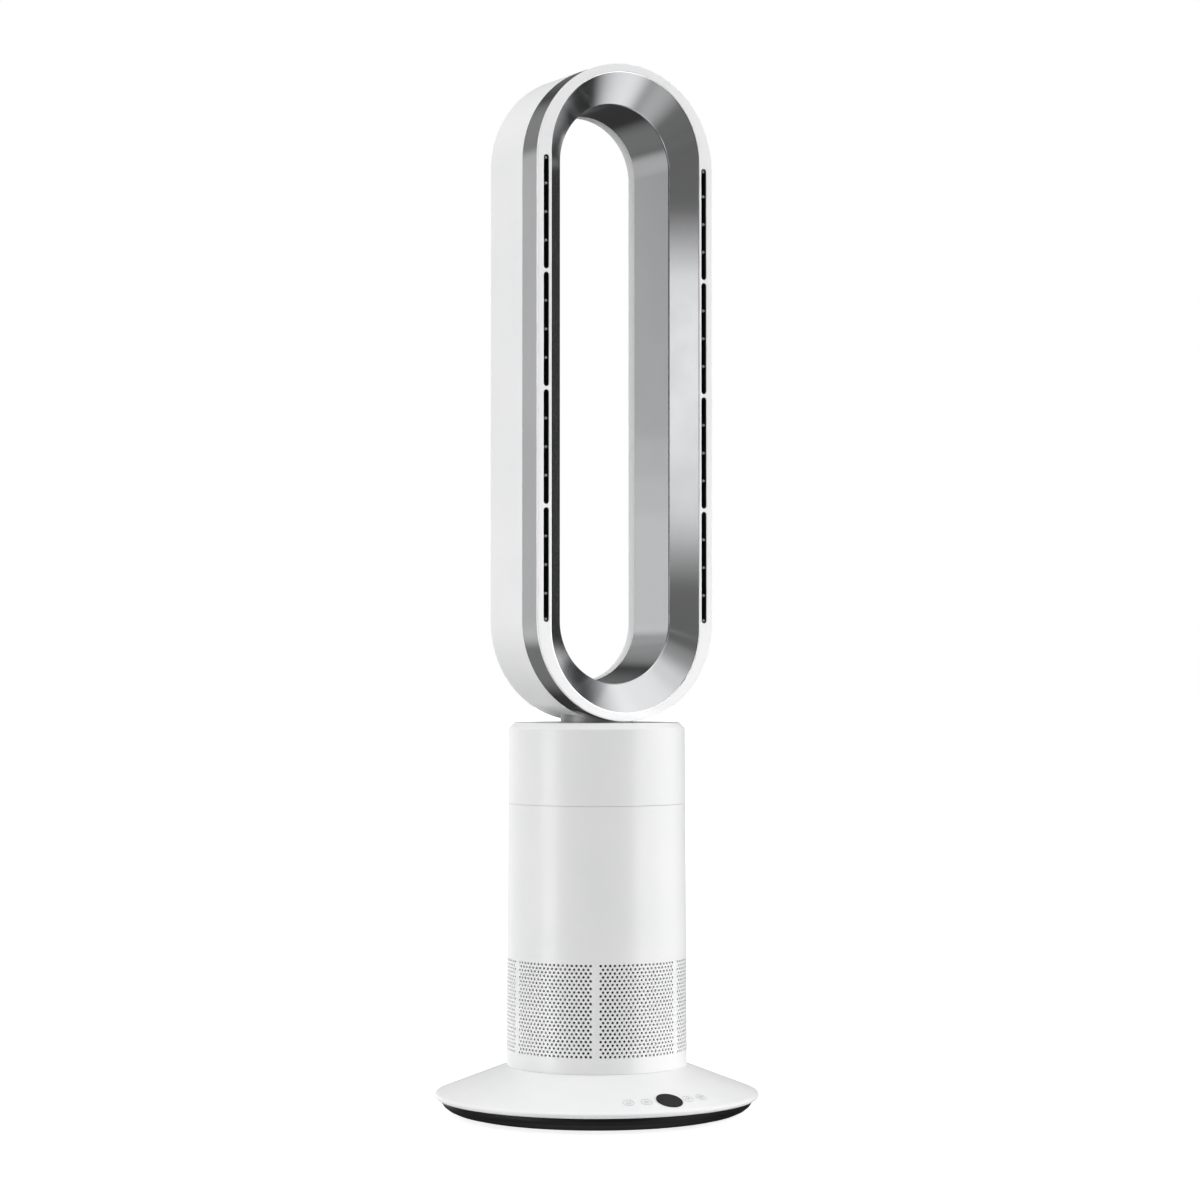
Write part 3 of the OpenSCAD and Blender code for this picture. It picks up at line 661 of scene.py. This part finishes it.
def shell_mesh():
    """The lower column with its air holes cut through, and a dark sheet close behind them: the
    sheet and the column's inner skin are painted shade.
    """
    verts, faces, sharp = [], [], []
    field_turn = 2 * math.pi / FIELDS
    holed = 2 * HOLES * HALF_PITCH

    def angle(j):
        field, column = divmod(j, FIELD)
        across = column * HALF_PITCH
        if column > 2 * HOLES:
            across = (holed + field_turn) / 2
        return FIELD_START + field * field_turn + across

    def put(a, z, depth):
        radius = column_radius(z) - depth
        verts.append((radius * math.cos(a), radius * math.sin(a), z))
        return len(verts) - 1

    def row(z, depth):
        return [put(angle(j), z, depth) for j in range(COLUMNS)]

    def strip(low, high, flip):
        for j in range(COLUMNS):
            k = (j + 1) % COLUMNS
            quad = (low[j], low[k], high[k], high[j])
            faces.append(quad[::-1] if flip else quad)

    lows = [Z_ROW0 - ROW_PITCH / 2 + ROW_PITCH * i for i in range(ROWS + 1)]
    skins = {}
    for depth, flip in ((0.0, False), (SHELL, True)):
        bottom = [
            (Z_FOOT + 0.05 * MM, depth if depth else 0.35 * MM), (Z_FOOT + 0.35 * MM, depth),
            (Z_FOOT + 5 * MM, depth), ((Z_FOOT + lows[0]) / 2, depth)
        ]
        above = [
            (lows[-1] + (Z_SEAM - lows[-1]) * k / 6, depth) for k in range(1, 6)
        ] + [(Z_SEAM - 3 * MM, depth), (Z_SEAM - 0.2 * MM, depth),
             (Z_SEAM - 0.05 * MM, depth if depth else 0.15 * MM)]
        rows_below = [row(z, d) for z, d in bottom]
        rows_holes = [row(z, depth) for z in lows]
        rows_above = [row(z, d) for z, d in above]
        chain = rows_below + [rows_holes[0]]
        for a, b in zip(chain, chain[1:]):
            strip(a, b, flip)
        chain = [rows_holes[-1]] + rows_above
        for a, b in zip(chain, chain[1:]):
            strip(a, b, flip)
        skins[depth] = (rows_below[0], rows_above[-1], rows_holes)
    for side, flip in ((0, True), (1, False)):
        strip(skins[0.0][side], skins[SHELL][side], flip)

    hole_angles = [math.radians(-90 + 30 * k) for k in range(12)]
    for r in range(ROWS):
        outer_row = r % 2 == 0
        z_mid = lows[r] + ROW_PITCH / 2
        for field in range(FIELDS):
            first = field * FIELD
            cells = range(HOLES) if outer_row else range(HOLES - 1)
            start = first if outer_row else first + 1
            covered = set()
            for i in cells:
                j = start + 2 * i
                covered |= {j, j + 1}
                corners = [(j, 0), (j + 1, 0), (j + 2, 0), (j + 2, 1), (j + 1, 1), (j, 1)]
                center = angle(j + 1)
                loops = {}
                for depth, flip in ((0.0, False), (SHELL, True)):
                    radius = column_radius(z_mid)
                    hole = []
                    for a in hole_angles:
                        hole.append(put(
                            center + HOLE_R * math.cos(a) / radius, z_mid + HOLE_R * math.sin(a),
                            depth
                        ))
                    loops[depth] = hole
                    levels = skins[depth][2]
                    ids = [levels[r + up][c % COLUMNS] for c, up in corners]
                    order = [ids[1], ids[2], ids[3], ids[4], ids[5], ids[0]]
                    for k in range(6):
                        outer_a, outer_b = order[k], order[(k + 1) % 6]
                        ring = [hole[(2 * k + m) % 12] for m in (2, 1, 0)]
                        face = [outer_a, outer_b] + ring
                        faces.append(face[::-1] if flip else face)
                for k in range(12):
                    m = (k + 1) % 12
                    faces.append((
                        loops[0.0][k], loops[0.0][m], loops[SHELL][m], loops[SHELL][k]
                    ))
                    sharp.append((loops[0.0][k], loops[0.0][m]))
                    sharp.append((loops[SHELL][k], loops[SHELL][m]))
            for j in range(first, first + FIELD):
                if j in covered:
                    continue
                for depth, flip in ((0.0, False), (SHELL, True)):
                    levels = skins[depth][2]
                    k = (j + 1) % COLUMNS
                    quad = (
                        levels[r][j % COLUMNS], levels[r][k],
                        levels[r + 1][k], levels[r + 1][j % COLUMNS]
                    )
                    faces.append(quad[::-1] if flip else quad)
    # A dark sheet close behind the holes: painted shade for the inside of the column.
    z_low, z_high = lows[0] - SHADE_SHEET_REACH, lows[-1] + SHADE_SHEET_REACH
    near = SHELL + SHADE_SHEET_GAP
    far = near + SHADE_SHEET_WALL
    first = len(verts)
    for z, depth in ((z_low, near), (z_high, near), (z_high, far), (z_low, far)):
        row(z, depth)
    faces += [
        tuple(first + v for v in face) for face in ring_faces(4, COLUMNS, True)
    ]
    return verts, faces, sharp


verts, faces, sharp = shell_mesh()
# Faces on the inner side, the inner skin and the sheet, take the painted shade.
deep = [math.hypot(x, y) < column_radius(z) - SHELL / 2 for x, y, z in verts]
painted_shade_face = [int(all(deep[v] for v in face)) for face in faces]
new_piece(
    "intake_shell_perforated", verts, faces, [WHITE, PAINTED_SHADE], "base",
    ["intake_shell"], sharp, painted_shade_face
)

z0 = Z_SEAM + 0.15 * MM
r0 = column_radius(Z_SEAM)
CAP_THICK = 2.5 * MM
LEDGE = 2.2 * MM
Z_LEDGE = Z_TOP - 4.9 * MM
collar = lathe(
    "upper_collar_moulding",
    rounded([
        ((r0, z0), 0.25 * MM),
        ((R_COLLAR, Z_TOP - CHAMFER_H), 0.9 * MM),
        ((R_COLLAR - CHAMFER_W, Z_TOP), 0.5 * MM),
        ((R_CAP, Z_TOP - 0.02 * MM), 0.05 * MM),
        ((R_CAP, Z_TOP - CAP_THICK), 0),
        ((R_CAP - LEDGE, Z_TOP - CAP_THICK), 0),
        ((R_CAP - LEDGE, Z_LEDGE), 0),
        ((R_COLLAR - 5 * MM, Z_LEDGE), 0),
        ((R_COLLAR - SHELL, Z_TOP - 8 * MM), 0),
        ((R_COLLAR - SHELL, z0), 0.2 * MM),
    ], steps=5),
    [WHITE], "head", ["upper_collar"],
)
clamp_lo, clamp_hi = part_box("neck_clamp")
R_CAP_HOLE = (clamp_hi[0] - clamp_lo[0]) / 2
cap = lathe(
    "top_cap_disc",
    rounded([
        ((R_CAP - HALF_GAP, Z_TOP - CAP_THICK), 0),
        ((R_CAP - HALF_GAP, Z_TOP - HALF_GAP), 0.3 * MM),
        ((R_CAP_HOLE, Z_TOP - HALF_GAP), 0.5 * MM),
        ((R_CAP_HOLE, Z_TOP - CAP_THICK), 0),
    ], steps=4),
    [WHITE], "head", ["top_cap"],
)

collar.visible_glossy = False
cap.visible_glossy = False

R_RIM = (cover_hi[0] - cover_lo[0]) / 2
Z_RIM_TOP = 20.5 * MM
Z_RIM_LOW = plinth_hi[2]
R_SKIRT = 141.9 * MM
R_COVER_HOLE = 11.2 * MM
COVER_WALL = 2.4 * MM
SPIGOT_OUT = R_FOOT - 3.2 * MM
SPIGOT_IN = R_FOOT - 5.4 * MM
SPIGOT_TOP = Z_FOOT + 9 * MM
Z_UNDER = Z_RIM_TOP - 1.4 * MM
lathe(
    "base_cover_moulding",
    rounded([
        ((R_SKIRT, Z_RIM_LOW), 0),
        ((R_RIM - 1.2 * MM, Z_RIM_LOW), 1.0 * MM),
        ((R_RIM, Z_RIM_LOW + 1.6 * MM), 0.8 * MM),
        ((R_RIM, Z_RIM_TOP - 1.2 * MM), 0.9 * MM),
        ((R_RIM - 1.6 * MM, Z_RIM_TOP + 0.3 * MM), 1.4 * MM),
        ((R_FOOT + 0.9 * MM, Z_FOOT - 0.3 * MM), 1.2 * MM),
        ((R_FOOT + 0.1 * MM, Z_FOOT), 0.2 * MM),
        ((SPIGOT_OUT, Z_FOOT), 0),
        ((SPIGOT_OUT, SPIGOT_TOP), 0),
        ((SPIGOT_IN, SPIGOT_TOP), 0),
        ((SPIGOT_IN, Z_FOOT), 0),
        ((R_COVER_HOLE, Z_FOOT), 0),
        ((R_COVER_HOLE, Z_FOOT - COVER_WALL), 0),
        ((R_FOOT - 0.8 * MM, Z_FOOT - COVER_WALL), 0),
        ((R_RIM - 5 * MM, Z_UNDER), 0),
        ((R_SKIRT, Z_UNDER), 0),
    ], steps=6),
    [WHITE], "base", ["base_cover"], 256,
)

# ------------------------------------------------------------------ control panel

CONE = math.atan2(Z_RIM_TOP - Z_FOOT, R_RIM - R_FOOT)
R_PANEL = 131 * MM
Z_PANEL = Z_RIM_TOP - (R_RIM - R_PANEL) * math.tan(CONE)


def panel_frame(degrees):
    """Matrix whose Z stands square on the cone, degrees round from the front."""
    return (
        Matrix.Rotation(math.radians(degrees), 4, "Z")
        @ Matrix.Translation((0, -R_PANEL, Z_PANEL))
        @ Matrix.Rotation(-CONE, 4, "X")
    )


def disc_lathe(profile, place, segments=96):
    """Closed lathe of (radius, z) about a placed Z axis, with its poles merged."""
    verts, faces = [], []
    rows = []
    for radius, z in profile:
        if radius < 1e-7:
            rows.append((len(verts), 1))
            verts.append(place @ Vector((0, 0, z)))
            continue
        rows.append((len(verts), segments))
        for j in range(segments):
            a = 2 * math.pi * j / segments
            verts.append(place @ Vector((radius * math.cos(a), radius * math.sin(a), z)))
    for (a, na), (b, nb) in zip(rows, rows[1:]):
        for j in range(segments):
            k = (j + 1) % segments
            if na == 1:
                faces.append((a, b + k, b + j))
            elif nb == 1:
                faces.append((a + j, a + k, b))
            else:
                faces.append((a + j, a + k, b + k, b + j))
    return verts, faces


window_profile = [  # radius, height above the cone, in mm
    (0, -1.4), (12.0, -1.4), (12.0, 0.05), (12.12, 0.3), (12.02, 0.42), (11.7, 0.48),
    (11.0, 0.5), (8, 0.52), (4, 0.53), (0, 0.535)
]
verts, faces = disc_lathe([(r * MM, z * MM) for r, z in window_profile], panel_frame(0))
new_piece(
    "display_window_glass", verts, faces, [WINDOW], "base", ["display_window"]
)


def ribbon(verts, faces, place, points, width=0.32 * MM, closed=False, height=0.09 * MM):
    """A thin printed line along flat points, standing just clear of the cone."""
    count = len(points)
    start = len(verts)
    for i, point in enumerate(points):
        here = Vector(point)
        before = Vector(points[i - 1] if closed or i else points[0])
        after = Vector(points[(i + 1) % count] if closed or i < count - 1 else points[-1])
        along = (after - before).normalized()
        across = Vector((-along.y, along.x)) * width / 2
        for side, z in ((-1, -0.1 * MM), (-1, height), (1, height), (1, -0.1 * MM)):
            spot = here + across * side
            verts.append(place @ Vector((spot.x, spot.y, z)))
    spans = count if closed else count - 1
    for i in range(spans):
        a = start + 4 * i
        b = start + 4 * ((i + 1) % count)
        for j in range(4):
            k = (j + 1) % 4
            faces.append((a + j, a + k, b + k, b + j))
    if not closed:
        faces.append((start, start + 1, start + 2, start + 3)[::-1])
        end = start + 4 * (count - 1)
        faces.append((end, end + 1, end + 2, end + 3))


def arc_points(radius, low, high, steps=32, center=(0, 0)):
    return [
        (center[0] + radius * math.cos(math.radians(low + (high - low) * i / steps)),
         center[1] + radius * math.sin(math.radians(low + (high - low) * i / steps)))
        for i in range(steps + 1)
    ]


ICON_ANGLES = {"power": -17.0, "wave": -9.8, "swing": 8.7, "timer": 15.8}
ICON_R = 4.9 * MM


def icon_mesh():
    """Four generic touch symbols: power, air waves, swing and timer."""
    verts, faces = [], []
    u = 1 * MM
    for kind, degrees in ICON_ANGLES.items():
        place = panel_frame(degrees)
        ring = [
            (ICON_R * math.cos(2 * math.pi * i / 64), ICON_R * math.sin(2 * math.pi * i / 64))
            for i in range(64)
        ]
        ribbon(verts, faces, place, ring, closed=True)
        if kind == "power":
            ribbon(verts, faces, place, arc_points(2 * u, 125, 415))
            ribbon(verts, faces, place, [(0, 0.6 * u), (0, 2.6 * u)])
        elif kind == "wave":
            for dx in (-1.5, 0, 1.5):
                line = [
                    (dx * u + 0.4 * u * math.sin(i / 12 * 2 * math.pi), (-2 + 4 * i / 12) * u)
                    for i in range(13)
                ]
                ribbon(verts, faces, place, line)
        elif kind == "swing":
            ribbon(verts, faces, place, arc_points(2.4 * u, 30, 150, center=(0, -1 * u)))
            for way in (-u, u):
                barb = [(2.9 * way, 1.1 * u), (2.1 * way, 0.2 * u), (1.2 * way, 0.9 * u)]
                ribbon(verts, faces, place, barb)
            ribbon(verts, faces, place, [(0, -2.2 * u), (0, -0.2 * u)])
        else:
            ribbon(verts, faces, place, arc_points(2.2 * u, 0, 360))
            ribbon(verts, faces, place, [(0, 1.4 * u), (0, 0), (1.1 * u, -0.5 * u)])
    return verts, faces


verts, faces = icon_mesh()
new_piece("touch_symbols", verts, faces, [PRINT], "base", ["touch_icons"])

# ------------------------------------------------------------------ camera, floor and light

CAM_AZ = math.radians(-29.33)
CAM_DISTANCE = 2.8527
CAM_HEIGHT = 0.4043
CAM_YAW = math.radians(-0.06)
CAM_PITCH = math.radians(1.36)
LENS_MM = 92.73

camera_data = bpy.data.cameras.new("camera")
camera = bpy.data.objects.new("camera", camera_data)
bpy.context.scene.collection.objects.link(camera)
camera_data.sensor_width = 36
camera_data.lens = LENS_MM
camera_data.clip_start = 0.05
camera_data.clip_end = 60
camera.location = (
    CAM_DISTANCE * math.sin(CAM_AZ), -CAM_DISTANCE * math.cos(CAM_AZ), CAM_HEIGHT
)
heading = CAM_AZ + CAM_YAW
forward = Vector((
    -math.sin(heading) * math.cos(CAM_PITCH), math.cos(heading) * math.cos(CAM_PITCH),
    math.sin(CAM_PITCH)
))
camera.rotation_euler = forward.to_track_quat("-Z", "Y").to_euler()
bpy.context.scene.camera = camera

floor_mesh = bpy.data.meshes.new("studio_floor")
FLOOR_HALF = 30.0
FLOOR_GLOW = 0.85
floor_mesh.from_pydata(
    [(x * FLOOR_HALF, y * FLOOR_HALF, 0) for x, y in ((-1, -1), (1, -1), (1, 1), (-1, 1))],
    [], [(0, 1, 2, 3)]
)
floor = bpy.data.objects.new("studio_floor", floor_mesh)
bpy.context.scene.collection.objects.link(floor)
floor_look = finish_material(
    "studio_floor", (0.9, 0.9, 0.9), (0.92, 0.92, 0.92), (0.85, 0.95), grain=40, bump=0.0,
    mottle=2.0
)
floor_shader = next(
    node for node in floor_look.node_tree.nodes if node.type == "BSDF_PRINCIPLED"
)
floor_shader.inputs["Emission Color"].default_value = (1, 1, 1, 1)
floor_shader.inputs["Emission Strength"].default_value = FLOOR_GLOW
floor_mesh.materials.append(floor_look)
floor.visible_glossy = False
floor.visible_diffuse = False
floor.visible_shadow = False

world = bpy.data.worlds.new("studio")
bpy.context.scene.world = world
world.use_nodes = True
w = Nodes(world.node_tree)
world_out = w.add("ShaderNodeOutputWorld")
coords = w.add("ShaderNodeTexCoord")


def lobe(azimuth, elevation, inner, outer, amount):
    """Soft light from a direction, full inside inner degrees and gone at outer."""
    turn, rise = math.radians(azimuth), math.radians(elevation)
    dot = w.add("ShaderNodeVectorMath", operation="DOT_PRODUCT")
    dot.inputs[1].default_value = (
        math.cos(rise) * math.cos(turn), math.cos(rise) * math.sin(turn), math.sin(rise)
    )
    w.link(coords.outputs["Generated"], dot.inputs[0])
    return w.spread(
        dot.outputs["Value"], math.cos(math.radians(outer)), math.cos(math.radians(inner)),
        0.0, amount
    )


# Azimuth from +X, elevation, inner and outer reach in degrees, strength
SOFTBOXES = {
    "left_key": (178, 0, 4, 16, 6.2),
    "left_low": (178, -28, 8, 25, 2.6),
    "left_high": (178, 30, 8, 25, 1.3),
    "back_left": (120, 0, 5, 16, 0.55),
    "back_left_high": (112, 26, 6, 24, 0.25),
    "back_left_low": (110, -22, 6, 24, 0.18),
    "back": (90, 0, 8, 24, 1.2),
    "back_right": (76, 8, 10, 28, 0.12),
    "back_high": (140, 55, 12, 35, 1.1),
    "right_high": (45, 60, 10, 28, 0.6),
    "top": (-30, 84, 20, 60, 1.1),
    "front_right": (-40, 8, 8, 25, 2.2),
    "front_right_wide": (-15, 8, 10, 30, 1.5),
    "front_right_high": (-45, 35, 8, 28, 1.2),
    "front_right_low": (-45, -40, 10, 30, 0.8),
    "front_low": (-60, -10, 5, 16, 5.8),
    "front_left": (-150, 3, 10, 30, 0.13),
    "front_left_high": (-148, 42, 8, 24, 0.38),
    "front_left_low": (-135, -42, 12, 35, 0.15),
    "front_left_floor": (-118, -60, 8, 22, 0.2),
    "floor_bounce": (0, -88, 20, 50, 0.5),
}
ROOM_LIGHT = 0.045
light = ROOM_LIGHT
for softbox in SOFTBOXES.values():
    light = w.math("ADD", light, lobe(*softbox))
studio = w.add("ShaderNodeBackground")
w.link(light, studio.inputs["Strength"])
backdrop = w.add("ShaderNodeBackground")
backdrop.inputs["Strength"].default_value = 1.0
path = w.add("ShaderNodeLightPath")
chooser = w.add("ShaderNodeMixShader")
w.link(path.outputs["Is Camera Ray"], chooser.inputs[0])
w.link(studio.outputs[0], chooser.inputs[1])
w.link(backdrop.outputs[0], chooser.inputs[2])
w.link(chooser.outputs[0], world_out.inputs[0])
studio.inputs["Color"].default_value = (1, 1, 1, 1)
backdrop.inputs["Color"].default_value = (1, 1, 1, 1)


def nested_panels(name, place, target, width, heights, spread, watts):
    """Area lights one behind the other, so that the patch of light fades towards its ends."""
    place = Vector(place)
    aim = (Vector(target) - place).normalized()
    for number, height in enumerate(heights):
        light_data = bpy.data.lights.new("%s_%d" % (name, number), "AREA")
        light_data.shape = "RECTANGLE"
        light_data.size = width
        light_data.size_y = height
        light_data.spread = math.radians(spread)
        light_data.energy = watts * height / heights[0] / len(heights)
        panel = bpy.data.objects.new("%s_%d" % (name, number), light_data)
        bpy.context.scene.collection.objects.link(panel)
        panel.location = place - aim * PANEL_STEP * number
        panel.rotation_euler = aim.to_track_quat("-Z", "Y").to_euler()
        panel.visible_camera = False


# The right inner bevel mirrors the first to the camera, the foot of the inner wall the second
PANEL_STEP = 0.004
nested_panels(
    "bevel_panel", (-0.236, -0.22, 0.69), (0.067, -0.045, 0.655),
    width=0.15, heights=(0.37, 0.335, 0.3, 0.265), spread=16, watts=0.0016
)
nested_panels(
    "wall_panel", (-0.12, 0.3, 0.51), (0.055, 0.0, 0.45),
    width=0.2, heights=(0.28, 0.2, 0.12), spread=60, watts=0.0042
)

view = bpy.context.scene.view_settings
view.view_transform = "Standard"
view.look = "None"
view.exposure = 0.0
